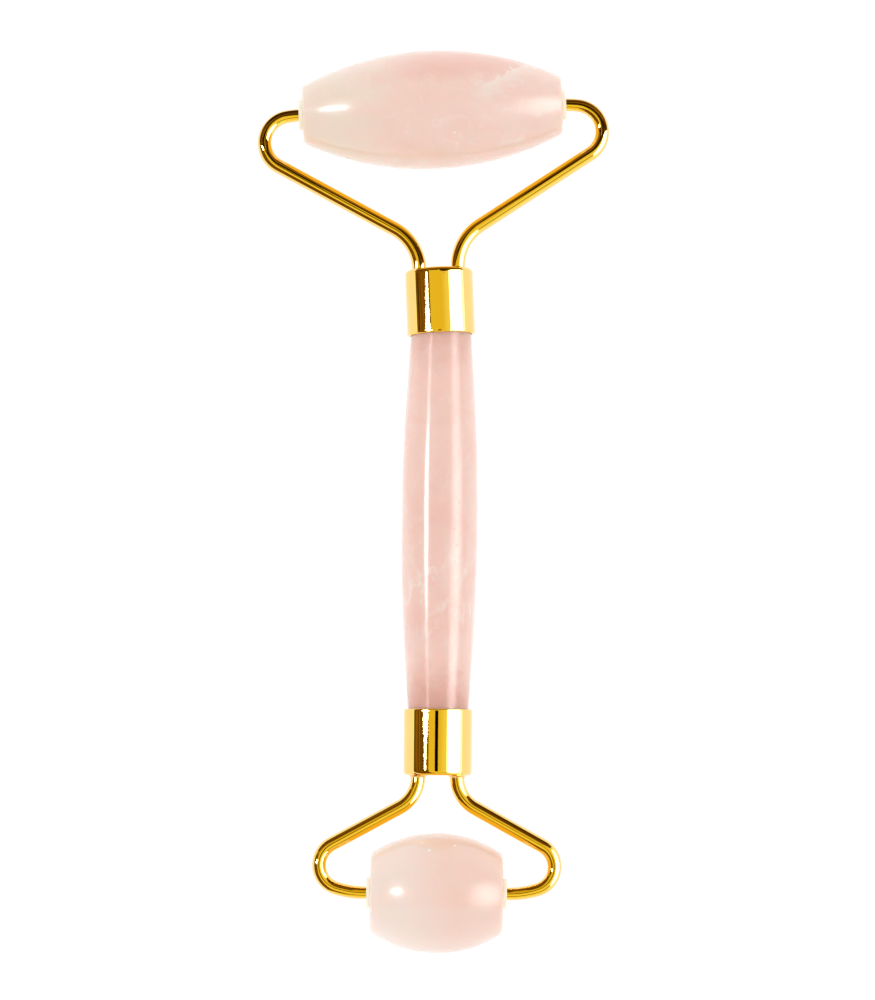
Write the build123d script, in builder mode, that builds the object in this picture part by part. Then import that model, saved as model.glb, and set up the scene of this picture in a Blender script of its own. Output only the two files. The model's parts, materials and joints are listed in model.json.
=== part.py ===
from build123d import *

import os
from dataclasses import dataclass
from math import asin, cos, radians, sin, tan

# Double-ended stone face roller, in millimetres.
#
# A turned stone handle lies along Y with its middle at the origin. At each end a drawn metal
# ferrule is bonded over the handle's spigot and carries a fork of two bent rods. The inward
# pins of each fork run in flanged plastic bushes, pressed into the bored barrel stone between
# them, so both stones spin freely. +Z is up when the roller lies on its two stones.
#
# Every piece of a head is drawn in that head's own frame: x along the stone's spin axis, y
# outwards from the mouth of the ferrule, z up.

# Handle
BELLY_RADIUS = 6.1
BELLY_CURVE_RADIUS = 325.0
BELLY_HALF_LENGTH = 20.0
HANDLE_HALF_LENGTH = 30.0  # middle of the handle to the mouth of each ferrule
COLLAR_LENGTH = 0.8  # full-width stone that enters the ferrule before the spigot
SPIGOT_RADIUS = 4.2
SPIGOT_LENGTH = 6.4
SPIGOT_CHAMFER = 0.4
STUD_HOLE_RADIUS = 2.0
STUD_HOLE_DEPTH = 13.0

# Ferrule: a drawn cup of even wall
FERRULE_RADIUS = 5.45
FERRULE_LENGTH = 10.5
FERRULE_WALL = 0.45
FERRULE_NOSE_RADIUS = 0.65
FERRULE_MOUTH_RADIUS = 0.15

# Anchor plate brazed inside the closed end, and the stud that keys it into the handle
PLATE_RADIUS = 4.97
PLATE_THICKNESS = 1.2
PLATE_CHAMFER = 0.3
STUD_RADIUS = 1.5
STUD_LENGTH = 14.0
STUD_GROOVES = 7
STUD_GROOVE_PITCH = 1.7
STUD_GROOVE_RADIUS = 0.45
STUD_GROOVE_DEPTH = 0.22
STUD_TIP_CHAMFER = 0.3

# Fork arms: round rod that thins towards the pin
ROD_RADIUS = 1.15
PIN_RADIUS = 1.0
PIN_TIP_RADIUS = 0.5
LEG_OFFSET = 3.1  # leg axis to ferrule axis
RIVET_RADIUS = 1.5
RIVET_THICKNESS = 0.6
LEAD_IN_RADIUS = 15.0  # gentle last curve before the pin
BRAZE_HEIGHT = 0.35
BRAZE_EDGE = 0.04  # thickness left at the fillet's two edges

# Bushes
BUSH_FLANGE_RADIUS = 2.4
BUSH_FLANGE_THICKNESS = 0.65
BUSH_FLANGE_EDGE = 0.15
BUSH_BODY_RADIUS = 1.8
BUSH_BODY_LENGTH = 8.0
BUSH_BODY_CHAMFER = 0.3
BUSH_BORE_RADIUS = 1.05
BUSH_BORE_DEPTH = 7.6
BUSH_BORE_CHAMFER = 0.2
PIN_END_CLEARANCE = 0.15

ADHESIVE_INSET = 0.3  # the bond stops this far inside the ferrule's mouth


@dataclass
class Head:
    """One end of the roller: where it stands and the sizes that differ between the ends."""

    plane: Plane
    axis_height: float  # ferrule mouth to spin axis
    reach: float  # furthest point of the arm's centre line from the head's middle
    slope: float  # rise of the arm's straight run, degrees
    root_radius: float  # bend where the arm leaves the ferrule
    heel_radius: float  # outer bend
    lead_in_angle: float  # degrees
    stone_length: float
    stone_radius: float
    crown_radius: float
    stone_edge_radius: float

    @property
    def axis(self):
        """Axis of the ferrule, pointing outwards."""
        return Axis(self.plane.origin, self.plane.y_dir)

    @property
    def stone_centre(self):
        return self.plane.from_local_coords(Vector(0, self.axis_height, 0))

    def across(self, height):
        """A plane square to the ferrule's axis, this far out from the mouth, facing outwards."""
        origin = self.plane.from_local_coords(Vector(0, height, 0))
        return Plane(origin=origin, x_dir=self.plane.x_dir, z_dir=self.plane.y_dir)


# The large head of this hand-bonded roller leans a little; 0 makes it square to the handle.
LARGE_HEAD_LEAN = 2.75

large_head = Head(
    plane=Plane(
        origin=(0, HANDLE_HALF_LENGTH, 0),
        x_dir=(cos(radians(LARGE_HEAD_LEAN)), sin(radians(LARGE_HEAD_LEAN)), 0),
        z_dir=(0, 0, 1),
    ),
    axis_height=36.5,
    reach=27.2,
    slope=30.9,
    root_radius=7.7,
    heel_radius=4.3,
    lead_in_angle=9.0,
    stone_length=41.7,
    stone_radius=9.5,
    crown_radius=46.5,
    stone_edge_radius=0.8,
)
small_head = Head(
    plane=Plane(origin=(0, -HANDLE_HALF_LENGTH, 0), x_dir=(-1, 0, 0), z_dir=(0, 0, 1)),
    axis_height=29.15,
    reach=18.7,
    slope=28.8,
    root_radius=5.5,
    heel_radius=3.8,
    lead_in_angle=17.5,
    stone_length=21.0,
    stone_radius=9.5,
    crown_radius=18.4,
    stone_edge_radius=1.0,
)

handle_shoulder = HANDLE_HALF_LENGTH + COLLAR_LENGTH
handle_end = handle_shoulder + SPIGOT_LENGTH
plate_outer = FERRULE_LENGTH - FERRULE_WALL
plate_inner = plate_outer - PLATE_THICKNESS


def make_handle():
    """Turned stone: a long belly, straight tapers, and a bored spigot at each end."""
    belly_arc_angle = asin(BELLY_HALF_LENGTH / BELLY_CURVE_RADIUS)
    belly_end_radius = BELLY_RADIUS - BELLY_CURVE_RADIUS * (1 - cos(belly_arc_angle))
    taper_length = handle_shoulder - BELLY_HALF_LENGTH
    collar_radius = belly_end_radius - taper_length * tan(belly_arc_angle)
    with BuildPart() as handle:
        with BuildSketch():
            with BuildLine() as half_outline:
                ThreePointArc(
                    (belly_end_radius, -BELLY_HALF_LENGTH),
                    (BELLY_RADIUS, 0),
                    (belly_end_radius, BELLY_HALF_LENGTH),
                )
                Polyline(
                    (belly_end_radius, BELLY_HALF_LENGTH),
                    (collar_radius, handle_shoulder),
                    (SPIGOT_RADIUS, handle_shoulder),
                    (SPIGOT_RADIUS, handle_end),
                    (0, handle_end),
                    (0, 0),
                )
                mirror(half_outline.edges().filter_by(GeomType.LINE), about=Plane.XZ)
            make_face()
        revolve(axis=Axis.Y)
        ends = handle.faces().filter_by(GeomType.PLANE).group_by(Axis.Y)
        chamfer((ends[0] + ends[-1]).edges(), SPIGOT_CHAMFER)
        for direction in (1, -1):
            with Locations(Plane(origin=(0, direction * handle_end, 0), z_dir=(0, direction, 0))):
                Hole(STUD_HOLE_RADIUS, STUD_HOLE_DEPTH)
    return handle.part


def make_ferrule(head):
    """Drawn cup, open towards the handle, with two holes for the fork's legs."""
    with BuildPart() as ferrule:
        with BuildSketch(head.across(0)):
            Circle(FERRULE_RADIUS)
        extrude(amount=FERRULE_LENGTH)
        closed_end = ferrule.faces().sort_by(head.axis)[-1]
        fillet(closed_end.edges(), FERRULE_NOSE_RADIUS)
        offset(amount=-FERRULE_WALL, openings=ferrule.faces().sort_by(head.axis)[0])
        mouth = ferrule.faces().sort_by(head.axis)[0]
        fillet(mouth.edges().sort_by(SortBy.RADIUS)[-1], FERRULE_MOUTH_RADIUS)
        with Locations(head.across(FERRULE_LENGTH)):
            with GridLocations(2 * LEG_OFFSET, 0, 2, 1):
                Hole(ROD_RADIUS, 2 * FERRULE_WALL)
    return ferrule.part


def make_anchor_plate(head):
    """Disc behind the ferrule's closed end that the legs and the stud pass through."""
    with BuildPart() as plate:
        with BuildSketch(head.across(plate_inner)):
            Circle(PLATE_RADIUS)
            Circle(STUD_RADIUS, mode=Mode.SUBTRACT)
            with GridLocations(2 * LEG_OFFSET, 0, 2, 1):
                Circle(ROD_RADIUS, mode=Mode.SUBTRACT)
        extrude(amount=PLATE_THICKNESS)
        outer_rim = plate.faces().sort_by(head.axis)[-1].edges().sort_by(SortBy.RADIUS)[-1]
        chamfer(outer_rim, PLATE_CHAMFER)
    return plate.part


def make_stud(head):
    """Grooved stud, flush with the plate's outer face and glued into the handle's bore."""
    with BuildPart() as stud:
        with BuildSketch(head.across(plate_outer - STUD_LENGTH)):
            Circle(STUD_RADIUS)
        extrude(amount=STUD_LENGTH)
        chamfer(stud.faces().sort_by(head.axis)[0].edges(), STUD_TIP_CHAMFER)
        groove_centre = STUD_RADIUS + STUD_GROOVE_RADIUS - STUD_GROOVE_DEPTH
        with BuildSketch(head.plane):
            for number in range(STUD_GROOVES):
                height = plate_inner - STUD_GROOVE_PITCH * (number + 1)
                with Locations((groove_centre, height)):
                    Circle(STUD_GROOVE_RADIUS)
        revolve(axis=head.axis, mode=Mode.SUBTRACT)
    return stud.part


def make_arm(head, side):
    """One rod of the fork: riveted leg, root bend, straight run, tapered heel and pin."""
    slope = radians(head.slope)
    lead_in = radians(head.lead_in_angle)
    heel_x = head.reach - head.heel_radius
    heel_y = head.axis_height - LEAD_IN_RADIUS * (1 - cos(lead_in)) - head.heel_radius * cos(lead_in)
    run_end_x = heel_x + head.heel_radius * sin(slope)
    run_end_y = heel_y - head.heel_radius * cos(slope)
    run_width = run_end_x - LEG_OFFSET - head.root_radius * (1 - sin(slope))
    bend_start = run_end_y - run_width * tan(slope) - head.root_radius * cos(slope)
    bush_face = head.stone_length / 2 + BUSH_FLANGE_THICKNESS
    pin_end = bush_face - BUSH_BORE_DEPTH + PIN_END_CLEARANCE

    with BuildPart() as arm:
        with BuildLine(head.plane):
            leg = Line((side * LEG_OFFSET, plate_inner), (side * LEG_OFFSET, bend_start))
            root = JernArc(leg @ 1, leg % 1, head.root_radius, side * (head.slope - 90))
            run = Line(root @ 1, (side * run_end_x, run_end_y))
        with BuildSketch(Plane(origin=leg @ 0, x_dir=head.plane.z_dir, z_dir=leg % 0)):
            Circle(ROD_RADIUS)
        sweep()

        heel_turn = side * (180 - head.slope - head.lead_in_angle)
        with BuildLine(head.plane):
            heel = JernArc(run @ 1, run % 1, head.heel_radius, heel_turn)
            lead = JernArc(heel @ 1, heel % 1, LEAD_IN_RADIUS, side * head.lead_in_angle)
        pin_root = Plane(origin=lead @ 1, x_dir=head.plane.z_dir, z_dir=lead % 1)
        with BuildSketch(Plane(origin=run @ 1, x_dir=head.plane.z_dir, z_dir=run % 1)):
            Circle(ROD_RADIUS)
        with BuildSketch(pin_root):
            Circle(PIN_RADIUS)
        sweep(multisection=True)

        with BuildSketch(pin_root):
            Circle(PIN_RADIUS)
        extrude(amount=(lead @ 1 - head.stone_centre).length - pin_end)
        tip = arm.faces().filter_by(GeomType.PLANE).sort_by_distance(head.stone_centre)[0]
        fillet(tip.edges(), PIN_TIP_RADIUS)

        with BuildSketch(Plane(origin=leg @ 0, x_dir=head.plane.z_dir, z_dir=leg % 0)):
            Circle(RIVET_RADIUS)
        extrude(amount=-RIVET_THICKNESS)
    return arm.part


def make_braze(head):
    """A fillet of brazing metal where each rod leaves the ferrule: two separate rings."""
    with BuildPart() as braze:
        for side in (1, -1):
            leg_root = head.plane.from_local_coords(Vector(side * LEG_OFFSET, FERRULE_LENGTH, 0))
            with BuildSketch(Plane(leg_root, x_dir=head.plane.x_dir, z_dir=head.plane.z_dir)):
                with BuildLine():
                    Polyline(
                        (ROD_RADIUS + BRAZE_EDGE, BRAZE_HEIGHT),
                        (ROD_RADIUS, BRAZE_HEIGHT),
                        (ROD_RADIUS, 0),
                        (ROD_RADIUS + BRAZE_HEIGHT, 0),
                        (ROD_RADIUS + BRAZE_HEIGHT, BRAZE_EDGE),
                    )
                    RadiusArc(
                        (ROD_RADIUS + BRAZE_HEIGHT, BRAZE_EDGE),
                        (ROD_RADIUS + BRAZE_EDGE, BRAZE_HEIGHT),
                        BRAZE_HEIGHT - BRAZE_EDGE,
                    )
                make_face()
            revolve(axis=Axis(leg_root, head.plane.y_dir))
    return braze.part


def make_adhesive(head, neighbours):
    """Cured adhesive: whatever the pieces inside the ferrule and the stud's bore leave free."""
    handle_direction = Vector(0, head.plane.y_dir.Y, 0).normalized()
    with BuildPart() as adhesive:
        with BuildSketch(head.across(ADHESIVE_INSET)):
            Circle(FERRULE_RADIUS - FERRULE_WALL)
        extrude(amount=plate_inner - ADHESIVE_INSET)
        with BuildSketch(Plane(origin=handle_direction * handle_end, z_dir=handle_direction)):
            Circle(STUD_HOLE_RADIUS)
        extrude(amount=-STUD_HOLE_DEPTH)
        add(neighbours, mode=Mode.SUBTRACT)
    return adhesive.part


def make_stone(head):
    """Barrel stone with a crowned face, softened end edges and a bore right through."""
    half = head.stone_length / 2
    end_drop = head.crown_radius * (1 - cos(asin(half / head.crown_radius)))
    end_radius = head.stone_radius - end_drop
    with BuildPart() as stone:
        with BuildSketch(Plane(head.stone_centre, x_dir=head.plane.x_dir, z_dir=head.plane.z_dir)):
            with BuildLine():
                ThreePointArc((-half, end_radius), (0, head.stone_radius), (half, end_radius))
                Polyline((half, end_radius), (half, 0), (-half, 0), (-half, end_radius))
            make_face()
        revolve(axis=Axis(head.stone_centre, head.plane.x_dir))
        fillet(stone.faces().filter_by(GeomType.PLANE).edges(), head.stone_edge_radius)
        with BuildSketch(Plane(head.stone_centre, z_dir=head.plane.x_dir)):
            Circle(BUSH_BODY_RADIUS)
        extrude(amount=half, both=True, mode=Mode.SUBTRACT)
    return stone.part


def make_bush(head, side):
    """Flanged plastic bush with a blind bore, pressed into the end of the stone."""
    outwards = head.plane.x_dir * side
    face_centre = head.stone_centre + outwards * (head.stone_length / 2)
    face = Plane(origin=face_centre, x_dir=head.plane.z_dir, z_dir=outwards)
    along = Axis(face_centre, outwards)
    with BuildPart() as bush:
        with BuildSketch(face):
            Circle(BUSH_FLANGE_RADIUS)
        extrude(amount=BUSH_FLANGE_THICKNESS)
        fillet(bush.faces().sort_by(along)[-1].edges(), BUSH_FLANGE_EDGE)
        with BuildSketch(face):
            Circle(BUSH_BODY_RADIUS)
        extrude(amount=-BUSH_BODY_LENGTH)
        chamfer(bush.faces().sort_by(along)[0].edges(), BUSH_BODY_CHAMFER)
        with Locations(face.offset(BUSH_FLANGE_THICKNESS)):
            Hole(BUSH_BORE_RADIUS, BUSH_BORE_DEPTH)
        mouth = bush.faces().sort_by(along)[-1].edges().sort_by(SortBy.RADIUS)[0]
        chamfer(mouth, BUSH_BORE_CHAMFER)
    return bush.part


def save(name, piece):
    piece.label = name
    export_step(piece, f"parts/{name}.step")


os.makedirs("parts", exist_ok=True)
handle = make_handle()
save("handle", handle)

for end, head in {"large": large_head, "small": small_head}.items():
    # Left and right are -X and +X on the whole roller; the small head's own x runs the other way.
    head_x = 1 if head.plane.x_dir.X > 0 else -1
    sides = {"left": -head_x, "right": head_x}
    stud = make_stud(head)
    arms = {name: make_arm(head, side) for name, side in sides.items()}

    save(f"{end}_end_ferrule", make_ferrule(head))
    save(f"{end}_end_anchor_plate", make_anchor_plate(head))
    save(f"{end}_end_stud", stud)
    save(f"{end}_end_adhesive", make_adhesive(head, [handle, stud, *arms.values()]))
    save(f"{end}_fork_braze", make_braze(head))
    save(f"{end}_roller", make_stone(head))
    for name, side in sides.items():
        save(f"{end}_fork_{name}_arm", arms[name])
        save(f"{end}_roller_{name}_bush", make_bush(head, side))
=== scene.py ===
import json
from math import asin, cos, degrees, pi, radians, sin, sqrt, tan

import bmesh
import bpy
from mathutils import Matrix, Vector, noise


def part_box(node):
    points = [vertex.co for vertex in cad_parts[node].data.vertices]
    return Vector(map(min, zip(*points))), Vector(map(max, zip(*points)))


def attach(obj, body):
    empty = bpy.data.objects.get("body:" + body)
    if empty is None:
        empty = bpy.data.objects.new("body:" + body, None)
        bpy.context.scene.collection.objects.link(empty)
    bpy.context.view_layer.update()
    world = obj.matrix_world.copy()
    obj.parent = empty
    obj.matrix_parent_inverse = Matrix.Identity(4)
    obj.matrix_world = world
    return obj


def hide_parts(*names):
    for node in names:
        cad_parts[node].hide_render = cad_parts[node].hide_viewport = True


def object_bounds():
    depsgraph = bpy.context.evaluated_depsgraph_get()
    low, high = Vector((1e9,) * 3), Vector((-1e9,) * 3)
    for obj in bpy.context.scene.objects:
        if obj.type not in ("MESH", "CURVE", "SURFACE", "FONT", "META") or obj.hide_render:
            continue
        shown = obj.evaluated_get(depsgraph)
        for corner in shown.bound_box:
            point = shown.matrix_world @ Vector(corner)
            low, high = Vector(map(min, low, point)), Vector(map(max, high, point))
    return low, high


# Looks for the double-ended stone face roller, in metres, in the CAD part's own frame: +Y along
# the handle towards the large stone, +Z up when the roller lies on its two stones.

MM = 0.001
UP = Vector((0, 0, 1))

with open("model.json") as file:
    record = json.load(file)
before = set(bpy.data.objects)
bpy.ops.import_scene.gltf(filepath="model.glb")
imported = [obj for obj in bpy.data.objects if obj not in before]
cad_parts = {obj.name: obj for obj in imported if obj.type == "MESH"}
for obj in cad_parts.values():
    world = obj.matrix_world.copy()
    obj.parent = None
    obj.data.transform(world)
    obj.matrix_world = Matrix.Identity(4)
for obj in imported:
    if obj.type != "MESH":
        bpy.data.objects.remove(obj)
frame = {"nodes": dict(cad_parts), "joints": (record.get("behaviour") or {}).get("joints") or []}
cad_low, cad_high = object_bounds()

# ---------------------------------------------------------------------------------------------
# Sizes. What the CAD nodes can tell is measured from them; the rest are the part's own radii.
# ---------------------------------------------------------------------------------------------

HANDLE_CURVE_RADIUS = 325 * MM
HANDLE_BELLY_HALF = 20 * MM
HANDLE_COLLAR = 0.8 * MM  # how far the full-width stone runs on inside each ferrule
HANDLE_STEPS = 156
HANDLE_WAVINESS = 0.06 * MM
HANDLE_WAVE_SIZE = 7 * MM
HANDLE_WAVE_SEED = 1.3
SPIGOT_RADIUS = 4.2 * MM
SPIGOT_TIP_RADIUS = 0.9 * SPIGOT_RADIUS
SPIGOT_CHAMFER = 0.4 * MM
STONE_SEGMENTS = 192

FERRULE_WALL = 0.45 * MM
FERRULE_NOSE_RADIUS = 0.65 * MM
FERRULE_MOUTH_RADIUS = 0.15 * MM
FERRULE_SEGMENTS = 160

PLATE_THICKNESS = 1.2 * MM
LEG_OFFSET = 3.1 * MM
ROD_RADIUS = 1.15 * MM
PIN_RADIUS = 1.0 * MM
PIN_TIP_RADIUS = 0.5 * MM
PIN_STEPS = 10
ROD_SEGMENTS = 48
RIVET_RADIUS = 1.5 * MM
RIVET_THICKNESS = 0.6 * MM
RIVET_EDGE_RADIUS = 0.85 * RIVET_RADIUS
LEAD_IN_RADIUS = 15 * MM
BRAZE_HEIGHT = 0.35 * MM
BRAZE_SEGMENTS = 64

BUSH_FLANGE_RADIUS = 2.4 * MM
BUSH_FLANGE_THICKNESS = 0.65 * MM
BUSH_BODY_RADIUS = 1.8 * MM
BUSH_BODY_LENGTH = 8 * MM
BUSH_BORE_RADIUS = 1.05 * MM
BUSH_BORE_DEPTH = 7.6 * MM
BUSH_EDGE_RADIUS = 0.15 * MM
BUSH_LIP = 0.2 * MM
BUSH_CHAMFER = 0.3 * MM
BUSH_VENT_RADIUS = 0.02 * MM  # closes the blind bore, but for a pinhole
BUSH_SEGMENTS = 72
PIN_END_CLEARANCE = 0.15 * MM

# What differs between the heads: the arm's reach from the middle, its slope in degrees and its
# bends, and the stone's crown and edge.
HEAD_SHAPES = {
    "large": {
        "reach": 27.2 * MM,
        "slope": 30.9,
        "root_radius": 7.7 * MM,
        "heel_radius": 4.3 * MM,
        "lead_in": 9.0,
        "crown_radius": 46.5 * MM,
        "stone_edge_radius": 0.8 * MM,
    },
    "small": {
        "reach": 18.7 * MM,
        "slope": 28.8,
        "root_radius": 5.5 * MM,
        "heel_radius": 3.8 * MM,
        "lead_in": 17.5,
        "crown_radius": 18.4 * MM,
        "stone_edge_radius": 1.0 * MM,
    },
}


def extent(node, origin, direction):
    """How far a CAD node reaches from a point, backwards and forwards along a direction."""
    reaches = [(vertex.co - origin).dot(direction) for vertex in frame["nodes"][node].data.vertices]
    return min(reaches), max(reaches)


class Head:
    """One end of the roller, with its own frame: x along the spin axis, y out from the mouth."""

    def __init__(self, name, outwards):
        joint = next(j for j in frame["joints"] if j["name"] == f"{name}_roller_spin")
        self.name = name
        self.stone_centre = Vector(joint["pos_m"])
        self.x = Vector(joint["axis"]).normalized()
        self.y = UP.cross(self.x) * outwards
        self.mouth = Vector((0, outwards * HANDLE_HALF, 0))
        self.axis_height = (self.stone_centre - self.mouth).length
        self.ferrule_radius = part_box(f"{name}_end_ferrule")[1].z
        self.ferrule_length = extent(f"{name}_end_ferrule", self.mouth, self.y)[1]
        self.stone_half = extent(f"{name}_roller", self.stone_centre, self.x)[1]
        self.stone_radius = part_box(f"{name}_roller")[1].z
        bush_face = self.stone_half + BUSH_FLANGE_THICKNESS
        self.pin_end = bush_face - BUSH_BORE_DEPTH + PIN_END_CLEARANCE
        self.shape = HEAD_SHAPES[name]

    def at(self, x, y, z=0.0):
        return self.mouth + self.x * x + self.y * y + UP * z


HANDLE_HALF = -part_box("small_end_ferrule")[1].y
HANDLE_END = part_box("handle")[1].y
HANDLE_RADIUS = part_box("handle")[1].z
heads = {"large": Head("large", 1), "small": Head("small", -1)}

# ---------------------------------------------------------------------------------------------
# Mesh building
# ---------------------------------------------------------------------------------------------


def new_object(name, vertices, faces, sharp_angle=40):
    """A smooth-shaded mesh object with outward normals and sharp edges past an angle in degrees."""
    mesh = bpy.data.meshes.new(name)
    mesh.from_pydata([tuple(v) for v in vertices], [], faces)
    mesh.validate()
    shell = bmesh.new()
    shell.from_mesh(mesh)
    bmesh.ops.recalc_face_normals(shell, faces=shell.faces)
    shell.to_mesh(mesh)
    shell.free()
    piece = bpy.data.objects.new(name, mesh)
    bpy.context.scene.collection.objects.link(piece)
    mesh.shade_smooth()
    mesh.set_sharp_from_angle(angle=radians(sharp_angle))
    return piece


def arc(centre, radius, start, end, steps):
    """Points (along, out) of an arc from one angle to another, in degrees."""
    points = []
    for step in range(steps + 1):
        angle = radians(start + (end - start) * step / steps)
        points.append((centre[0] + radius * cos(angle), centre[1] + radius * sin(angle)))
    return points


def subdivided(start, end, steps):
    """Points along a straight line, without its two ends."""
    return [
        (start[0] + (end[0] - start[0]) * i / steps, start[1] + (end[1] - start[1]) * i / steps)
        for i in range(1, steps)
    ]


def lathe_mesh(profile, origin, axis, segments, closed=True):
    """Vertices and faces of a profile of (along, out) points turned about an axis.

    A closed profile is a ring, such as a bush with its bore; an open one starts and ends on the
    axis, where its two ends are closed with a fan.
    """
    side = axis.cross(UP).normalized()
    top = side.cross(axis).normalized()
    vertices = []
    faces = []
    rows = len(profile)
    for along, out in profile:
        for segment in range(segments):
            angle = 2 * pi * segment / segments
            vertices.append(origin + axis * along + (side * cos(angle) + top * sin(angle)) * out)
    last = rows if closed else rows - 1
    for row in range(last):
        following = (row + 1) % rows
        for segment in range(segments):
            beside = (segment + 1) % segments
            faces.append(
                (
                    row * segments + segment,
                    row * segments + beside,
                    following * segments + beside,
                    following * segments + segment,
                )
            )
    if not closed:
        faces.append(tuple(reversed(range(segments))))
        faces.append(tuple(range((rows - 1) * segments, rows * segments)))
    return vertices, faces


def recess(vertices, origin, axis, depth, size, seed):
    """Sinks a turned surface by a slow, seeded waviness, as hand polishing leaves it."""
    offset = Vector((seed, -seed, 2.5 * seed))
    moved = []
    for vertex in vertices:
        along = axis * (vertex - origin).dot(axis)
        outward = vertex - origin - along
        waviness = 0.5 + 0.5 * noise.noise((vertex - origin) / size + offset)
        moved.append(vertex - outward.normalized() * depth * max(0.0, min(1.0, waviness)))
    return moved


def tube_mesh(path, radii, segments, plane_normal):
    """Vertices and faces of a rod that follows a plane path, with closed ends."""
    vertices = []
    faces = []
    for index, point in enumerate(path):
        before = path[max(index - 1, 0)]
        after = path[min(index + 1, len(path) - 1)]
        side = (after - before).normalized().cross(plane_normal)
        for segment in range(segments):
            angle = 2 * pi * segment / segments
            spoke = side * cos(angle) + plane_normal * sin(angle)
            vertices.append(point + spoke * radii[index])
    for row in range(len(path) - 1):
        for segment in range(segments):
            beside = (segment + 1) % segments
            faces.append(
                (
                    row * segments + segment,
                    row * segments + beside,
                    (row + 1) * segments + beside,
                    (row + 1) * segments + segment,
                )
            )
    faces.append(tuple(reversed(range(segments))))
    faces.append(tuple(range((len(path) - 1) * segments, len(path) * segments)))
    return vertices, faces


def finish_piece(piece, node, body, material):
    """Dresses a piece and puts it on a body in place of a CAD node."""
    piece.data.materials.append(material)
    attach(piece, body)
    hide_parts(node)


# ---------------------------------------------------------------------------------------------
# Shader nodes
# ---------------------------------------------------------------------------------------------


class Shader:
    """A node tree with short calls for the nodes used here. Values may be numbers or sockets."""

    def __init__(self, tree):
        self.tree = tree
        tree.nodes.clear()

    def node(self, kind, inputs=None, **settings):
        node = self.tree.nodes.new(kind)
        for name, value in settings.items():
            setattr(node, name, value)
        for key, value in (inputs or {}).items():
            socket = node.inputs[key]
            if isinstance(value, bpy.types.NodeSocket):
                self.tree.links.new(value, socket)
            else:
                socket.default_value = value
        return node

    def math(self, operation, first, second=0.0, third=0.0, clamp=False):
        inputs = {0: first, 1: second, 2: third}
        return self.node("ShaderNodeMath", inputs, operation=operation, use_clamp=clamp).outputs[0]

    def vector(self, operation, first, second=(0.0, 0.0, 0.0)):
        node = self.node("ShaderNodeVectorMath", {0: first, 1: second}, operation=operation)
        return node.outputs["Value" if operation in ("LENGTH", "DISTANCE", "DOT_PRODUCT") else 0]

    def scaled(self, vector, factor):
        node = self.node("ShaderNodeVectorMath", {0: vector, "Scale": factor}, operation="SCALE")
        return node.outputs[0]

    def step(self, value, start, end, low=0.0, high=1.0):
        """Smooth step from low at start to high at end."""
        inputs = {0: value, 1: start, 2: end, 3: low, 4: high}
        return self.node("ShaderNodeMapRange", inputs, interpolation_type="SMOOTHSTEP").outputs[0]

    def band(self, value, start, end, soft):
        """1 between start and end, falling to 0 over a soft edge."""
        rise = self.step(value, start - soft, start + soft)
        fall = self.step(value, end - soft, end + soft, 1.0, 0.0)
        return self.math("MULTIPLY", rise, fall)

    def spot(self, first, second, centre, radii, soft):
        """1 inside an ellipse in the plane of two values, falling to 0 over a soft edge."""
        sides = []
        for value, middle, radius in zip((first, second), centre, radii):
            side = self.math("DIVIDE", self.math("SUBTRACT", value, middle), radius)
            sides.append(self.math("POWER", side, 2.0))
        distance = self.math("SQRT", self.math("ADD", *sides))
        return self.step(distance, 1.0 - soft, 1.0 + soft, 1.0, 0.0)

    def mix(self, factor, first, second):
        inputs = {0: factor, 6: first, 7: second}
        return self.node("ShaderNodeMix", inputs, data_type="RGBA").outputs[2]

    def noise(self, vector, scale, detail=2.0, roughness=0.5, distortion=0.0):
        inputs = {
            "Vector": vector,
            "Scale": scale,
            "Detail": detail,
            "Roughness": roughness,
            "Distortion": distortion,
        }
        return self.node("ShaderNodeTexNoise", inputs, noise_dimensions="3D").outputs[0]

    def bump(self, height, distance, strength=1.0):
        inputs = {"Height": height, "Distance": distance, "Strength": strength}
        return self.node("ShaderNodeBump", inputs).outputs[0]

    def place_mm(self):
        """Position on the piece at rest, in millimetres."""
        return self.scaled(self.node("ShaderNodeTexCoord").outputs["Object"], 1000.0)


def new_material(name):
    material = bpy.data.materials.new(name)
    material.use_nodes = True
    return material, Shader(material.node_tree)


def surface(shader, inputs):
    principled = shader.node("ShaderNodeBsdfPrincipled", inputs)
    shader.node("ShaderNodeOutputMaterial", {"Surface": principled.outputs[0]})


def colour(red, green, blue):
    return (red, green, blue, 1.0)


def grey(level):
    return colour(level, level, level)


# ---------------------------------------------------------------------------------------------
# Materials
# ---------------------------------------------------------------------------------------------

PINK_DEEP = colour(0.86, 0.52, 0.44)
PINK = colour(0.90, 0.62, 0.53)
PINK_PALE = colour(0.93, 0.72, 0.63)
MILK = colour(0.95, 0.84, 0.77)
CREAM = colour(0.87, 0.74, 0.625)
DEEP_ROSE_AND_PAINTED_SHADE = colour(0.70, 0.36, 0.28)
STONE_PAINTED_GLOW_IN_GOLD = colour(0.93, 0.64, 0.06)
CHIP_WHITE, SPECK_WHITE = colour(1.0, 0.98, 0.95), colour(1.0, 0.97, 0.93)
HANDLE_PINK = colour(0.88, 0.60, 0.52)
SMALL_STONE_PINK = colour(0.91, 0.66, 0.56)
GOLD_WARM, GOLD_PALE = colour(1.0, 0.60, 0.18), colour(1.0, 0.65, 0.22)
IVORY_DARK, IVORY_LIGHT = colour(0.97, 0.86, 0.66), colour(0.99, 0.92, 0.76)
IVORY_PAINTED_GLOW = colour(1.0, 0.9, 0.75)


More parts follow.
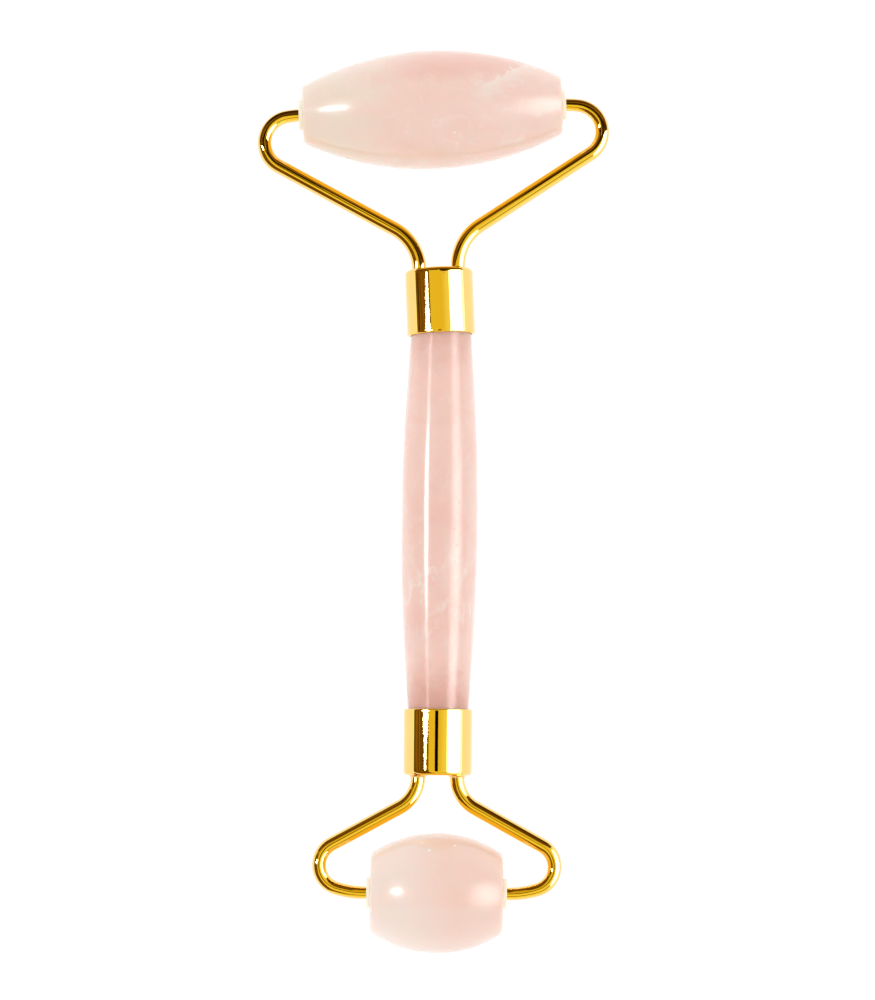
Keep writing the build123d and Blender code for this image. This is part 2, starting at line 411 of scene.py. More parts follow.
def rose_quartz(name, saturation, seed, features):
    """Polished, clouded, slightly see-through pink stone.

    saturation runs from 0 (pale) to 1 (deep). features(shader, place, base) adds what only one
    stone shows, and returns the changed colour. place is in millimetres from the stone's middle.
    """
    material, s = new_material(name)
    place = s.vector("ADD", s.place_mm(), (seed, 2 * seed, -seed))
    clouds = s.noise(place, 0.11, detail=4, roughness=0.55, distortion=0.9)
    wisps = s.noise(place, 0.34, detail=6, roughness=0.62, distortion=1.4)
    grain = s.noise(place, 2.6, detail=3, roughness=0.7)

    base = s.mix(s.step(clouds, 0.3, 0.7), PINK_PALE, s.mix(saturation, PINK_PALE, PINK_DEEP))
    base = s.mix(0.35, base, s.mix(saturation, PINK_PALE, PINK))
    base = s.mix(s.step(wisps, 0.52, 0.74, 0.0, 0.45), base, MILK)
    vein_line = s.math("ABSOLUTE", s.math("SUBTRACT", s.noise(place, 0.16, 3, 0.5, 2.2), 0.5))
    veins = s.math("MULTIPLY", s.step(vein_line, 0.0, 0.010, 1.0, 0.0), s.step(wisps, 0.4, 0.65))
    base = s.mix(s.math("MULTIPLY", veins, 0.45), base, MILK)
    base = s.mix(s.step(grain, 0.55, 0.8, 0.0, 0.15), base, MILK)
    base = features(s, base)

    polish = s.noise(place, 0.4, detail=2)
    stone = s.node(
        "ShaderNodeBsdfPrincipled",
        {
            "Base Color": base,
            "Roughness": s.step(s.noise(place, 1.1, 4), 0.3, 0.7, 0.30, 0.38),
            "IOR": 1.54,
            "Specular IOR Level": 0.4,
            "Coat Weight": 0.6,
            "Coat Roughness": s.step(grain, 0.3, 0.7, 0.05, 0.09),
            "Subsurface Weight": 1.0,
            "Subsurface Radius": (1.0, 0.55, 0.45),
            "Subsurface Scale": 2.2 * MM,
            "Normal": s.bump(polish, 0.006 * MM, 1.0),
        },
    )
    # Reflected in the gold, the stone is a painted glow: a flat warm emission in place of its lit
    # surface.
    reflected = s.node("ShaderNodeEmission", {"Color": STONE_PAINTED_GLOW_IN_GOLD})
    is_reflected = s.node("ShaderNodeLightPath").outputs["Is Singular Ray"]
    mixed = s.node(
        "ShaderNodeMixShader", {0: is_reflected, 1: stone.outputs[0], 2: reflected.outputs[0]}
    )
    s.node("ShaderNodeOutputMaterial", {"Surface": mixed.outputs[0]})
    material.cycles.emission_sampling = "NONE"
    return material


def stone_coordinates(s, head):
    """Place from the stone's middle, and its parts along the axis and outwards, in mm."""
    from_middle = s.vector("SUBTRACT", s.place_mm(), tuple(head.stone_centre / MM))
    along = s.vector("DOT_PRODUCT", from_middle, tuple(head.x * head.y.y))
    outwards = s.vector("DOT_PRODUCT", from_middle, tuple(head.y))
    return from_middle, along, outwards


def freckle(s, base, place, centre, radius, tint, strength=1.0):
    """A small soft-edged mark at one place."""
    distance = s.vector("DISTANCE", place, centre)
    amount = s.step(distance, 0.6 * radius, 1.3 * radius, strength, 0.0)
    return s.mix(amount, base, tint)


def large_stone_features(s, base):
    """A cream end, and a deeper pink patch that a milky cloud cuts off with a ragged edge."""
    place, along, outwards = stone_coordinates(s, heads["large"])
    ragged = s.noise(place, 0.22, detail=6, roughness=0.65, distortion=0.6)
    drift = s.math("MULTIPLY_ADD", ragged, 18.0, -9.0)
    cream = s.step(s.math("ADD", along, drift), -17.0, -3.0, 1.0, 0.0)
    base = s.mix(s.math("MULTIPLY", cream, 0.9), base, CREAM)

    # The cloud's border climbs away from the handle, in short jagged steps.
    jagged = s.noise(place, 0.6, detail=6, roughness=0.72, distortion=0.5)
    border = s.math("MULTIPLY_ADD", along, 0.574, s.math("MULTIPLY_ADD", jagged, 7.0, -5.7))
    above_cloud = s.step(s.math("SUBTRACT", outwards, border), -0.12, 0.12)
    patch = s.step(s.math("ADD", outwards, s.math("MULTIPLY", drift, 0.3)), 2.5, 5.5)
    patch = s.math("MULTIPLY", patch, s.band(along, -5.0, 17.0, 5.0))
    patch = s.math("MULTIPLY", patch, above_cloud)
    base = s.mix(s.math("MULTIPLY", patch, 0.6), base, PINK_DEEP)
    cloud = s.step(s.math("SUBTRACT", border, outwards), 4.5, -0.1)
    cloud = s.math("MULTIPLY", cloud, s.math("SUBTRACT", 1.0, above_cloud))
    cloud = s.math("MULTIPLY", cloud, s.band(along, 8.0, 15.5, 2.5))
    base = s.mix(s.math("MULTIPLY", cloud, 0.6), base, MILK)
    base = freckle(s, base, place, (3.6, -5.0, 8.0), 0.22, CHIP_WHITE)
    # Two small pits painted as darker rose spots: painted shade, with no dent in the surface.
    base = freckle(s, base, place, (12.4, 1.0, 8.1), 0.16, DEEP_ROSE_AND_PAINTED_SHADE, 0.6)
    return freckle(s, base, place, (8.7, -1.4, 8.8), 0.2, DEEP_ROSE_AND_PAINTED_SHADE, 0.5)


def small_stone_features(s, base):
    """Paler towards the right end, partly painted light of the softbox there, with a few bright
    specks on the handle's side.
    """
    place, along, outwards = stone_coordinates(s, heads["small"])
    base = s.mix(0.75, base, SMALL_STONE_PINK)
    # Paler towards the right end: partly the stone's paler colour, partly painted light from the
    # softbox on that side.
    base = s.mix(s.step(along, -4.0, 7.0, 0.0, 0.55), base, MILK)
    base = s.mix(s.step(outwards, 1.9, 2.3, 0.0, 0.16), base, MILK)
    specks = (((2.8, 7.7, 5.3), 0.25), ((-1.2, 6.8, 6.4), 0.3), ((-2.4, 8.0, 5.0), 0.2))
    for centre, radius in specks:
        base = freckle(s, base, place, centre, radius, SPECK_WHITE, 0.8)
    return base


def handle_features(s, base):
    """Painted shade and deeper pink towards the ferrules, a milky veil low on the belly, and small
    pits painted as darker spots.
    """
    place = s.place_mm()
    base = s.mix(0.4, base, HANDLE_PINK)
    lengthwise = s.node("ShaderNodeSeparateXYZ", {0: place}).outputs[1]
    waver = s.math("MULTIPLY_ADD", s.noise(place, 0.3, 4, 0.6, 0.8), 8.0, -4.0)
    # Painted shade: darker towards the ferrules, where they meet and shade the handle, over a
    # deeper pink there.
    shade_to_large = s.step(s.math("ADD", lengthwise, waver), 22.0, 32.0, 0.0, 0.6)
    shade_to_small = s.step(s.math("ADD", lengthwise, waver), -21.0, -31.0, 0.0, 0.85)
    base = s.mix(s.math("ADD", shade_to_large, shade_to_small, clamp=True), base, DEEP_ROSE_AND_PAINTED_SHADE)
    stretched = s.vector("MULTIPLY", place, (1.0, 0.35, 1.0))
    veil = s.noise(stretched, 0.42, detail=5, roughness=0.6, distortion=1.8)
    low = s.band(lengthwise, -18.0, -5.0, 4.0)
    amount = s.math("MULTIPLY", s.step(veil, 0.5, 0.66, 0.0, 0.55), low)
    base = s.mix(amount, base, MILK)
    # Small pits painted as darker rose spots: painted shade, with no dent in the surface.
    for centre in ((3.05, 2.7, 5.2), (2.3, -1.5, 5.6), (2.7, -4.0, 5.4)):
        base = freckle(s, base, place, centre, 0.16, DEEP_ROSE_AND_PAINTED_SHADE, 0.6)
    return base


def gold(name):
    """Bright gold plating over a drawn and polished base, with a faint orange peel."""
    material, s = new_material(name)
    place = s.place_mm()
    wave = s.math("MULTIPLY", s.noise(place, 0.6, detail=1), 0.003)
    patchy = s.step(s.noise(place, 0.3, detail=2), 0.4, 0.6, 0.4, 1.0)
    peel = s.math("MULTIPLY", s.noise(place, 3.0, detail=3, roughness=0.6), patchy)
    height = s.math("MULTIPLY_ADD", peel, 0.0016, wave)
    tone = s.noise(place, 0.25, detail=3)
    surface(
        s,
        {
            "Base Color": s.mix(tone, GOLD_WARM, GOLD_PALE),
            "Metallic": 1.0,
            "Roughness": 0.0,
            "Normal": s.bump(height, 1.0 * MM, 1.0),
        },
    )
    return material


def nylon(name):
    """Moulded ivory plastic, with a faint painted glow for the light that soaks into it."""
    material, s = new_material(name)
    place = s.place_mm()
    tone = s.noise(place, 0.6, detail=3)
    texture = s.noise(place, 6.0, detail=2)
    surface(
        s,
        {
            "Base Color": s.mix(tone, IVORY_DARK, IVORY_LIGHT),
            "Roughness": s.step(texture, 0.3, 0.7, 0.35, 0.5),
            "Subsurface Weight": 0.4,
            "Subsurface Radius": (1.0, 0.8, 0.6),
            "Subsurface Scale": 0.8 * MM,
            # Painted glow: a faint emission stands in for the light that soaks into the plastic.
            "Emission Color": IVORY_PAINTED_GLOW,
            "Emission Strength": 0.1,
            "Normal": s.bump(texture, 0.02 * MM, 0.4),
        },
    )
    material.cycles.emission_sampling = "NONE"
    return material


def inner_metal(name, dark, light):
    """Machined metal that is hidden once the head is bonded."""
    material, s = new_material(name)
    place = s.place_mm()
    marks = s.noise(place, 3.0, detail=5, roughness=0.7)
    surface(
        s,
        {
            "Base Color": s.mix(marks, dark, light),
            "Metallic": 1.0,
            "Roughness": s.step(marks, 0.3, 0.7, 0.22, 0.42),
            "Normal": s.bump(marks, 0.02 * MM, 0.5),
        },
    )
    return material


def epoxy(name):
    """Cured adhesive, slightly cloudy, hidden inside the heads."""
    material, s = new_material(name)
    place = s.place_mm()
    flow = s.noise(place, 0.8, detail=4, distortion=1.0)
    surface(
        s,
        {
            "Base Color": s.mix(flow, colour(0.78, 0.70, 0.52), colour(0.88, 0.84, 0.72)),
            "Roughness": s.step(flow, 0.3, 0.7, 0.2, 0.35),
            "Normal": s.bump(flow, 0.1 * MM, 0.4),
        },
    )
    return material


handle_stone = rose_quartz("rose_quartz_handle", 0.95, 3.7, handle_features)
large_stone = rose_quartz("rose_quartz_large_stone", 0.45, 11.3, large_stone_features)
small_stone = rose_quartz("rose_quartz_small_stone", 0.5, 23.9, small_stone_features)
gold_plate = gold("gold_plate")
ivory_nylon = nylon("ivory_nylon")
bare_brass = inner_metal("bare_brass", colour(0.55, 0.38, 0.16), colour(0.80, 0.60, 0.30))
braze_metal = inner_metal("braze_metal", colour(0.80, 0.50, 0.16), colour(0.98, 0.68, 0.27))
cured_epoxy = epoxy("cured_epoxy")

# ---------------------------------------------------------------------------------------------
# Pieces
# ---------------------------------------------------------------------------------------------


def make_handle():
    """Turned stone: curved belly, straight tapers and a spigot at each end."""
    belly_angle = asin(HANDLE_BELLY_HALF / HANDLE_CURVE_RADIUS)
    shoulder = HANDLE_HALF + HANDLE_COLLAR

    def radius_at(along):
        distance = abs(along)
        curved = min(distance, HANDLE_BELLY_HALF)
        drop = HANDLE_CURVE_RADIUS - sqrt(HANDLE_CURVE_RADIUS**2 - curved**2)
        return HANDLE_RADIUS - drop - max(0.0, distance - HANDLE_BELLY_HALF) * tan(belly_angle)

    spigot = [
        (HANDLE_END, SPIGOT_TIP_RADIUS),
        (HANDLE_END - SPIGOT_CHAMFER, SPIGOT_RADIUS),
        (shoulder, SPIGOT_RADIUS),
    ]
    profile = [(-along, out) for along, out in spigot]
    for step in range(HANDLE_STEPS + 1):
        along = -shoulder + 2 * shoulder * step / HANDLE_STEPS
        profile.append((along, radius_at(along)))
    profile += reversed(spigot)
    origin, axis = Vector((0, 0, 0)), Vector((0, 1, 0))
    vertices, faces = lathe_mesh(profile, origin, axis, STONE_SEGMENTS, closed=False)
    vertices = recess(
        vertices, origin, axis, HANDLE_WAVINESS, HANDLE_WAVE_SIZE, HANDLE_WAVE_SEED
    )
    piece = new_object("handle_stone", vertices, faces)
    finish_piece(piece, "handle", "frame", handle_stone)


def make_stone(head, material):
    """Crowned barrel with rounded end edges and the bore for its bushes."""
    crown = head.shape["crown_radius"]
    edge = head.shape["stone_edge_radius"]
    half = head.stone_half
    crown_centre = head.stone_radius - crown
    # The end rounding touches the flat end and the crown.
    edge_x = half - edge
    edge_y = crown_centre + sqrt((crown - edge) ** 2 - edge_x**2)
    crown_degrees = degrees(asin(edge_x / (crown - edge)))
    profile = [(-half, BUSH_BODY_RADIUS)]
    profile += subdivided((-half, BUSH_BODY_RADIUS), (-half, edge_y), 12)
    profile += arc((-edge_x, edge_y), edge, 180, 90 + crown_degrees, 10)
    profile += arc((0, crown_centre), crown, 90 + crown_degrees, 90 - crown_degrees, 120)[1:-1]
    profile += arc((edge_x, edge_y), edge, 90 - crown_degrees, 0, 10)
    profile += subdivided((half, edge_y), (half, BUSH_BODY_RADIUS), 12)
    profile += [(half, BUSH_BODY_RADIUS)]
    profile += subdivided((half, BUSH_BODY_RADIUS), (-half, BUSH_BODY_RADIUS), 20)
    vertices, faces = lathe_mesh(profile, head.stone_centre, head.x, STONE_SEGMENTS)
    piece = new_object(f"{head.name}_barrel_stone", vertices, faces)
    body = f"{head.name}_roller_body"
    finish_piece(piece, f"{head.name}_roller", body, material)


def make_ferrule(head):
    """Drawn cup with a rounded nose, a thin rolled mouth and a visible wall."""
    outer, length, wall = head.ferrule_radius, head.ferrule_length, FERRULE_WALL
    nose, mouth = FERRULE_NOSE_RADIUS, FERRULE_MOUTH_RADIUS
    inner_nose = nose - wall
    profile = [(length, outer - nose)]
    profile += arc((length - nose, outer - nose), nose, 0, 90, 16)[1:]
    profile += subdivided((length - nose, outer), (mouth, outer), 40)
    profile += arc((mouth, outer - mouth), mouth, 90, 180, 8)
    profile += [(0, outer - wall)]
    profile += subdivided((0, outer - wall), (length - nose, outer - wall), 12)
    profile += arc((length - nose, outer - nose), inner_nose, 90, 0, 6)
    around = FERRULE_SEGMENTS
    vertices, faces = lathe_mesh(profile, head.mouth, head.y, around)
    # The closed end is a disc, inside and out, that the arms pass through.
    last = (len(profile) - 1) * around
    faces = [face for face in faces if not (min(face) < around and max(face) >= last)]
    faces.append(tuple(reversed(range(around))))
    faces.append(tuple(range(last, last + around)))
    piece = new_object(f"{head.name}_ferrule", vertices, faces)
    finish_piece(piece, f"{head.name}_end_ferrule", "frame", gold_plate)


def arm_path(head, side):
    """Centre line and radius of a rod, from the riveted end to the tip of the pin."""
    slope_degrees, lead_degrees = head.shape["slope"], head.shape["lead_in"]
    slope, lead_in = radians(slope_degrees), radians(lead_degrees)
    root, heel = head.shape["root_radius"], head.shape["heel_radius"]
    heel_x = head.shape["reach"] - heel
    heel_y = head.axis_height - LEAD_IN_RADIUS * (1 - cos(lead_in)) - heel * cos(lead_in)
    run_end = (heel_x + heel * sin(slope), heel_y - heel * cos(slope))
    run_rise = (run_end[0] - LEG_OFFSET - root * (1 - sin(slope))) * tan(slope)
    bend_start = run_end[1] - run_rise - root * cos(slope)
    leg_start = head.ferrule_length - FERRULE_WALL - PLATE_THICKNESS

    rivet_end = leg_start - RIVET_THICKNESS
    rivet_edge = rivet_end + 0.2 * RIVET_THICKNESS
    points = [(LEG_OFFSET, along) for along in (rivet_end, rivet_edge, leg_start, leg_start)]
    radii = [RIVET_EDGE_RADIUS, RIVET_RADIUS, RIVET_RADIUS, ROD_RADIUS]
    points += subdivided(points[-1], (LEG_OFFSET, bend_start), 8)
    points += arc((LEG_OFFSET + root, bend_start), root, 180, 90 + slope_degrees, 28)
    points += subdivided(points[-1], run_end, 40)
    radii += [ROD_RADIUS] * (len(points) - len(radii))
    bend = arc((heel_x, heel_y), heel, slope_degrees - 90, 90 - lead_degrees, 56)
    lead_centre = (
        heel_x + (heel - LEAD_IN_RADIUS) * sin(lead_in),
        head.axis_height - LEAD_IN_RADIUS,
    )
    bend += arc(lead_centre, LEAD_IN_RADIUS, 90 - lead_degrees, 90, 16)[1:]
    travelled = [0.0]
    for start, end in zip(bend, bend[1:]):
        travelled.append(travelled[-1] + sqrt((end[0] - start[0]) ** 2 + (end[1] - start[1]) ** 2))
    points += bend
    radii += [ROD_RADIUS + (PIN_RADIUS - ROD_RADIUS) * way / travelled[-1] for way in travelled]
    tip_centre = head.pin_end + PIN_TIP_RADIUS
    points += subdivided(points[-1], (tip_centre, head.axis_height), PIN_STEPS)
    radii += [PIN_RADIUS] * (PIN_STEPS - 1)
    for along, out in arc((0, PIN_RADIUS - PIN_TIP_RADIUS), PIN_TIP_RADIUS, 90, 0, 6):
        points.append((tip_centre - along, head.axis_height))
        radii.append(out)
    return [head.at(side * x, y) for x, y in points], radii


def make_arm(head, name, side):
    """One bent rod of a fork, from its rivet to its pin."""
    path, radii = arm_path(head, side)
    normal = UP if side * head.y.y > 0 else -UP
    vertices, faces = tube_mesh(path, radii, ROD_SEGMENTS, normal)
    piece = new_object(f"{head.name}_{name}_rod", vertices, faces)
    finish_piece(piece, f"{head.name}_fork_{name}_arm", "frame", gold_plate)


def make_bush(head, name, side):
    """Flanged bush: a soft-edged flange against the stone and a bored body inside it."""
    flange, thickness = BUSH_FLANGE_RADIUS, BUSH_FLANGE_THICKNESS
    edge, lip, chamfer = BUSH_EDGE_RADIUS, BUSH_LIP, BUSH_CHAMFER
    profile = [(0, BUSH_BODY_RADIUS), (0, flange)]
    profile += arc((thickness - edge, flange - edge), edge, 90, 0, 6)
    profile += subdivided((thickness, flange - edge), (thickness, BUSH_BORE_RADIUS + lip), 6)
    profile += [(thickness, BUSH_BORE_RADIUS + lip), (thickness - lip, BUSH_BORE_RADIUS)]
    profile += [(thickness - BUSH_BORE_DEPTH, BUSH_BORE_RADIUS)]
    profile += [(thickness - BUSH_BORE_DEPTH, BUSH_VENT_RADIUS)]
    profile += [(-BUSH_BODY_LENGTH, BUSH_VENT_RADIUS)]
    profile += [(-BUSH_BODY_LENGTH, BUSH_BODY_RADIUS - chamfer)]
    profile += [(-BUSH_BODY_LENGTH + chamfer, BUSH_BODY_RADIUS)]
    outwards = head.x * side
    origin = head.stone_centre + outwards * head.stone_half
    vertices, faces = lathe_mesh(profile, origin, outwards, BUSH_SEGMENTS)
    piece = new_object(f"{head.name}_{name}_bush", vertices, faces, 30)
    body = f"{head.name}_roller_body"
    finish_piece(piece, f"{head.name}_roller_{name}_bush", body, ivory_nylon)


def make_braze(head):
    """Concave fillets of brazing metal round the two legs, one ring each."""
    ring = [(0, ROD_RADIUS), (0, ROD_RADIUS + BRAZE_HEIGHT)]
    ring += arc((BRAZE_HEIGHT, ROD_RADIUS + BRAZE_HEIGHT), 0.9 * BRAZE_HEIGHT, 190, 260, 8)
    ring += [(BRAZE_HEIGHT, ROD_RADIUS)]
    vertices, faces = [], []
    for side in (1, -1):
        origin = head.at(side * LEG_OFFSET, head.ferrule_length)
        more_vertices, more_faces = lathe_mesh(ring, origin, head.y, BRAZE_SEGMENTS)
        start = len(vertices)
        vertices += more_vertices
        faces += [tuple(start + index for index in face) for face in more_faces]
    piece = new_object(f"{head.name}_braze_rings", vertices, faces, 30)
    finish_piece(piece, f"{head.name}_fork_braze", "frame", braze_metal)


make_handle()
for head, stone_material in ((heads["large"], large_stone), (heads["small"], small_stone)):
    make_stone(head, stone_material)
    make_ferrule(head)
    make_braze(head)
    for name, world_side in (("left", -1), ("right", 1)):
        make_arm(head, name, world_side)
        make_bush(head, name, world_side)

CAD_LOOKS = {"anchor_plate": bare_brass, "stud": bare_brass, "adhesive": cured_epoxy}
for head in heads.values():
    for part, material in CAD_LOOKS.items():
        node = frame["nodes"][f"{head.name}_end_{part}"]
        node.data.materials.clear()
        node.data.materials.append(material)
        node.data.shade_smooth()
        node.data.set_sharp_from_angle(angle=radians(30))

# ---------------------------------------------------------------------------------------------
# Studio: a pale floor, a soft surround, and the camera
# ---------------------------------------------------------------------------------------------

FLOOR_SIZE = 3.0
FLOOR_GLOW = 1.15
FLOOR_SEEN = 1.05  # as the camera sees it
FLOOR_PAPER = 0.1  # how much of what the camera sees takes shadows

# Directions in the studio, in degrees from overhead: across towards +X, along towards +Y.
SOFTBOX = (56.5, -4), (25.5, 34)
SOFTBOX_ON_STONE = (53, -2), (15, 18)
SOFTBOX_EDGE = (78, 100), (-48, 42)
LAMP = (-43, 2.9), (13, 2.05)
LAMP_STREAK = (-43, 2.9), (3.5, 3.3)
LAMP_ON_STONE = (-41, 4.5), (6, 6.5)
LAMP_HALO_ON_STONE = (-40, 4.5), (6, 15)
CAMERA_BODY = (-10, 1), (-7, 4.5)
DARK_CORNER = (-0.906, -0.423, 0.0)  # towards the dark corner, left and a little near
CORNER_REACH = -62, 20  # along
STAND, HORIZON = (43, 53), (88, 92)  # from overhead

# What the polished metal sees of the room, brighter than white where a light shows.
CEILING, CEILING_FAR = colour(0.80, 0.73, 0.07), colour(0.60, 0.42, 0.02)
NEAR_SIDE, RIGHT_SIDE = colour(0.95, 0.88, 0.12), colour(0.96, 1.02, 0.3)
CORNER_BLACK, CORNER_BROWN = colour(0.01, 0.003, 0.0), colour(0.33, 0.18, 0.008)
STAND_BROWN = colour(0.12, 0.05, 0.0)
HORIZON_GLOW = colour(1.0, 1.25, 0.5)
CAMERA_BLACK = colour(0.004, 0.002, 0.001)
SOFTBOX_EDGE_GLOW = colour(1.3, 1.9, 2.4)
SOFTBOX_GLOW, LAMP_GLOW = 6, 24
CARD_DARK, CARD_BROWN = colour(0.03, 0.012, 0.0), colour(0.34, 0.2, 0.01)

# Grey levels that light the stones: of the room and its dark corner, and of each light as it
# falls on them and as their gloss shows it.
ROOM_LIGHT, CORNER_LIGHT = 0.88, 0.80
SOFTBOX_LIGHT, SOFTBOX_GLARE = 1.6, 7.5
HALO_GLARE = 5
LAMP_LIGHT, LAMP_GLARE = 8, 24

# The dark card that stands beyond the large head, as (x, z) in millimetres.
WALL_OUTLINE = (
    (-320, -9), (190, -9), (190, 230), (120, 380), (30, 380), (24, 330),
    (10, 330), (3, 150), (-14, 150), (-24, 300), (-320, 300),
)
WALL_Y = 98 * MM

CAMERA_ELEVATION, CAMERA_ROLL = radians(85.8), radians(0.49)
CAMERA_TARGET = Vector((-0.38, 3.47, 0)) * MM
CAMERA_DISTANCE = 0.635
CAMERA_LENS = 142.9
CAMERA_CLIP = 0.05, 20


def make_floor():
    """Bright white table that the roller lies on."""
    quarters = ((-1, -1), (1, -1), (1, 1), (-1, 1))
    corners = [(x * FLOOR_SIZE, y * FLOOR_SIZE, cad_low.z) for x, y in quarters]
    floor = new_object("floor", corners, [(0, 1, 2, 3)])
    material, s = new_material("white_table")
    white = colour(1, 1, 1)
    is_camera = s.node("ShaderNodeLightPath").outputs["Is Camera Ray"]
    glow = s.node("ShaderNodeEmission", {"Color": white, "Strength": FLOOR_GLOW}).outputs[0]
    seen_glow = s.node("ShaderNodeEmission", {"Color": white, "Strength": FLOOR_SEEN}).outputs[0]
    paper = s.node("ShaderNodeBsdfDiffuse", {"Color": colour(0.9, 0.9, 0.9)}).outputs[0]
    seen = s.node("ShaderNodeMixShader", {0: FLOOR_PAPER, 1: seen_glow, 2: paper}).outputs[0]
    mixed = s.node("ShaderNodeMixShader", {0: is_camera, 1: glow, 2: seen}).outputs[0]
    s.node("ShaderNodeOutputMaterial", {"Surface": mixed})
    floor.data.materials.append(material)


def make_dark_wall():
    """A dark card beyond the large head, seen only in the polished metal."""
    corners = [(x * MM, WALL_Y, z * MM) for x, z in WALL_OUTLINE]
    wall = new_object("dark_wall", corners, [tuple(range(len(corners)))])
    material, s = new_material("dark_card")
    streaks = s.noise(s.vector("MULTIPLY", s.place_mm(), (0.2, 1.0, 1.0)), 0.03, 4, 0.7)
    shade = s.mix(s.step(streaks, 0.42, 0.62), CARD_DARK, CARD_BROWN)
    # Darkest where it is seen steeply, as the nearby large head sees its upper part.
    incoming = s.node("ShaderNodeNewGeometry").outputs["Incoming"]
    steepness = s.math("ABSOLUTE", s.node("ShaderNodeSeparateXYZ", {0: incoming}).outputs[2])
    shade = s.mix(s.step(steepness, 0.75, 0.93, 0.0, 0.85), shade, CORNER_BLACK)
    card = s.node("ShaderNodeEmission", {"Color": shade}).outputs[0]
    clear = s.node("ShaderNodeBsdfTransparent").outputs[0]
    is_mirrored = s.node("ShaderNodeLightPath").outputs["Is Singular Ray"]
    mixed = s.node("ShaderNodeMixShader", {0: is_mirrored, 1: clear, 2: card}).outputs[0]
    s.node("ShaderNodeOutputMaterial", {"Surface": mixed})
    material.cycles.emission_sampling = "NONE"
    wall.data.materials.append(material)
    wall.visible_camera = False
    wall.visible_diffuse = False
    wall.visible_transmission = False
    wall.visible_shadow = False


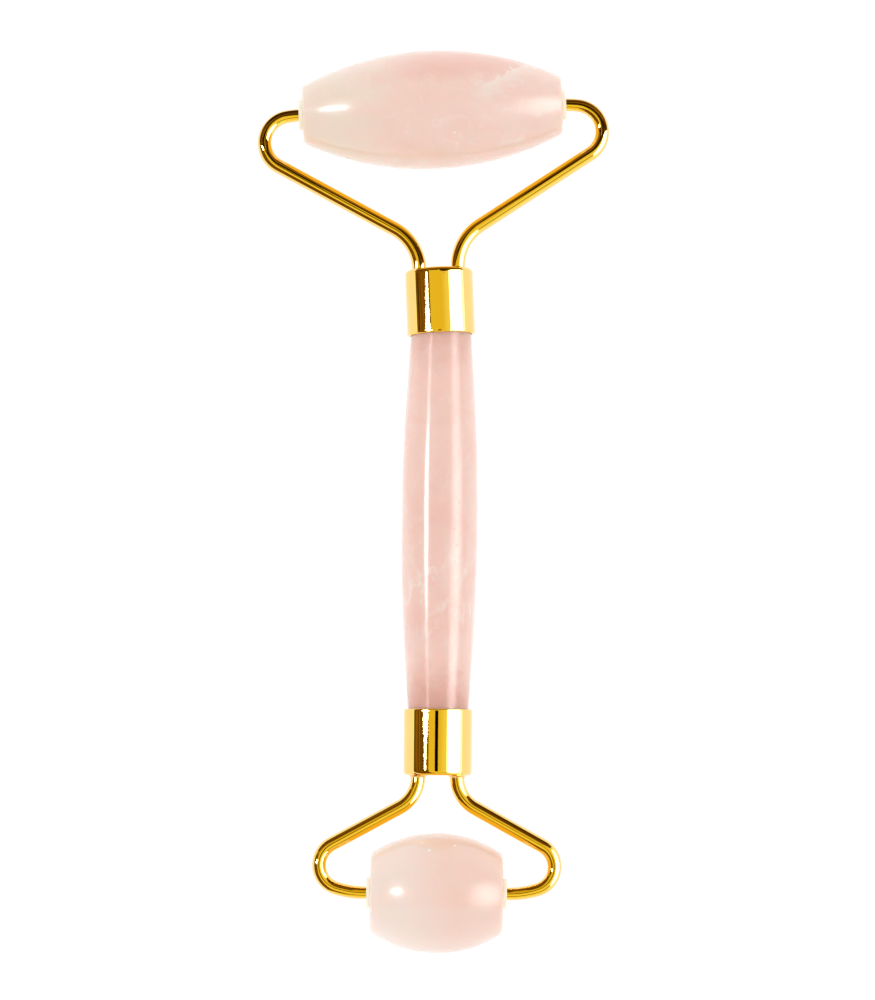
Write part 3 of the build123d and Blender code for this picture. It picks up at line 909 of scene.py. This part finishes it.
def make_surround():
    """A studio as the pieces see it; the camera sees plain white.

    Overhead and on the small stone's side everything is bright but for a thin stand, on the right
    stands a softbox, and the left is dark but for a small lamp. Polished metal, whose reflections
    are sharp, sees the warm tones of the room; the stones are lit by plain grey versions of the
    same shapes.
    """
    world = bpy.data.worlds.new("studio")
    world.use_nodes = True
    bpy.context.scene.world = world
    s = Shader(world.node_tree)
    direction = s.node("ShaderNodeTexCoord").outputs["Generated"]
    x, y, z = s.node("ShaderNodeSeparateXYZ", {0: direction}).outputs
    across = s.math("DEGREES", s.math("ARCTAN2", x, z))
    along = s.math("DEGREES", s.math("ARCSINE", y))
    from_zenith = s.math("DEGREES", s.math("ARCCOSINE", z))
    level = s.vector("NORMALIZE", s.node("ShaderNodeCombineXYZ", {0: x, 1: y}).outputs[0])
    towards_corner = s.math("MULTIPLY", s.vector("DOT_PRODUCT", level, DARK_CORNER), from_zenith)
    speckle = s.noise(direction, 20.0, detail=5, roughness=0.7, distortion=0.5)

    corner_edge = s.math("MULTIPLY_ADD", speckle, 8.0, s.step(along, -14, -4, 29.0, 24.0))
    corner = s.step(s.math("SUBTRACT", towards_corner, corner_edge), -1.0, 1.0)
    corner = s.math("MULTIPLY", corner, s.band(along, *CORNER_REACH, 6))
    softbox = s.spot(across, along, *SOFTBOX, 0.04)
    softbox_edge = s.math(
        "MULTIPLY", s.band(across, *SOFTBOX_EDGE[0], 6), s.band(along, *SOFTBOX_EDGE[1], 10)
    )
    # The lamp's streak breaks up into sparkles.
    stretched = {0: s.math("MULTIPLY", across, 0.3), 1: s.math("MULTIPLY", along, 30.0)}
    sparkle = s.noise(s.node("ShaderNodeCombineXYZ", stretched).outputs[0], 1.0)
    streak = s.spot(across, along, *LAMP_STREAK, 0.3)
    streak = s.math("MULTIPLY", streak, s.step(sparkle, 0.42, 0.5))
    lamp = s.math("MAXIMUM", s.spot(across, along, *LAMP, 0.15), streak)
    softbox_on_stone = s.spot(across, along, *SOFTBOX_ON_STONE, 0.8)
    lamp_on_stone = s.spot(across, along, *LAMP_ON_STONE, 0.3)
    camera_body = s.math(
        "MULTIPLY", s.band(across, *CAMERA_BODY[0], 0.5), s.band(along, *CAMERA_BODY[1], 0.3)
    )
    horizon = s.band(from_zenith, *HORIZON, 1.0)
    near = s.step(along, -12, -30)
    stand = s.math("MULTIPLY", s.band(from_zenith, *STAND, 1.5), near)
    below = s.step(z, 0.0, -0.02)

    shown = s.mix(s.step(along, 5, 24), CEILING, CEILING_FAR)
    shown = s.mix(s.step(along, -2, -22), shown, NEAR_SIDE)
    shown = s.mix(s.step(across, 4, 26, 0.0, 0.7), shown, RIGHT_SIDE)
    dark = s.mix(s.step(speckle, 0.35, 0.65), CORNER_BLACK, CORNER_BROWN)
    shown = s.mix(corner, shown, dark)
    shown = s.mix(stand, shown, STAND_BROWN)
    shown = s.mix(horizon, shown, HORIZON_GLOW)
    shown = s.mix(camera_body, shown, CAMERA_BLACK)
    shown = s.mix(softbox_edge, shown, SOFTBOX_EDGE_GLOW)
    shown = s.mix(softbox, shown, grey(SOFTBOX_GLOW))
    shown = s.mix(lamp, shown, grey(LAMP_GLOW))
    seen_by_metal = s.mix(below, shown, grey(FLOOR_GLOW))

    rays = s.node("ShaderNodeLightPath").outputs
    lighting = s.mix(corner, grey(ROOM_LIGHT), grey(CORNER_LIGHT))
    glare = s.mix(rays["Is Glossy Ray"], grey(SOFTBOX_LIGHT), grey(SOFTBOX_GLARE))
    lighting = s.mix(softbox_on_stone, lighting, glare)
    halo = s.spot(across, along, *LAMP_HALO_ON_STONE, 0.6)
    glare = s.mix(rays["Is Glossy Ray"], grey(ROOM_LIGHT), grey(HALO_GLARE))
    lighting = s.mix(halo, lighting, glare)
    glare = s.mix(rays["Is Glossy Ray"], grey(LAMP_LIGHT), grey(LAMP_GLARE))
    lighting = s.mix(lamp_on_stone, lighting, glare)
    lighting = s.mix(below, lighting, grey(FLOOR_GLOW))

    shown = s.mix(rays["Is Singular Ray"], lighting, seen_by_metal)
    shown = s.mix(rays["Is Camera Ray"], shown, grey(FLOOR_SEEN))
    background = s.node("ShaderNodeBackground", {"Color": shown, "Strength": 1.0})
    s.node("ShaderNodeOutputWorld", {"Surface": background.outputs[0]})


def make_camera():
    """From above, a little to the small stone's side, with a slight roll."""
    forward = Vector((0, cos(CAMERA_ELEVATION), -sin(CAMERA_ELEVATION)))
    right, up = Vector((1, 0, 0)), Vector((0, sin(CAMERA_ELEVATION), cos(CAMERA_ELEVATION)))
    camera_right = right * cos(CAMERA_ROLL) + up * sin(CAMERA_ROLL)
    camera_up = up * cos(CAMERA_ROLL) - right * sin(CAMERA_ROLL)
    camera = bpy.data.objects.new("camera", bpy.data.cameras.new("camera"))
    camera.data.lens = CAMERA_LENS
    camera.data.clip_start, camera.data.clip_end = CAMERA_CLIP
    turn = Matrix((camera_right, camera_up, -forward)).transposed().to_4x4()
    camera.matrix_world = Matrix.Translation(CAMERA_TARGET - forward * CAMERA_DISTANCE) @ turn
    bpy.context.scene.collection.objects.link(camera)
    bpy.context.scene.camera = camera


make_floor()
make_dark_wall()
make_surround()
make_camera()
bpy.context.scene.view_settings.view_transform = "Standard"
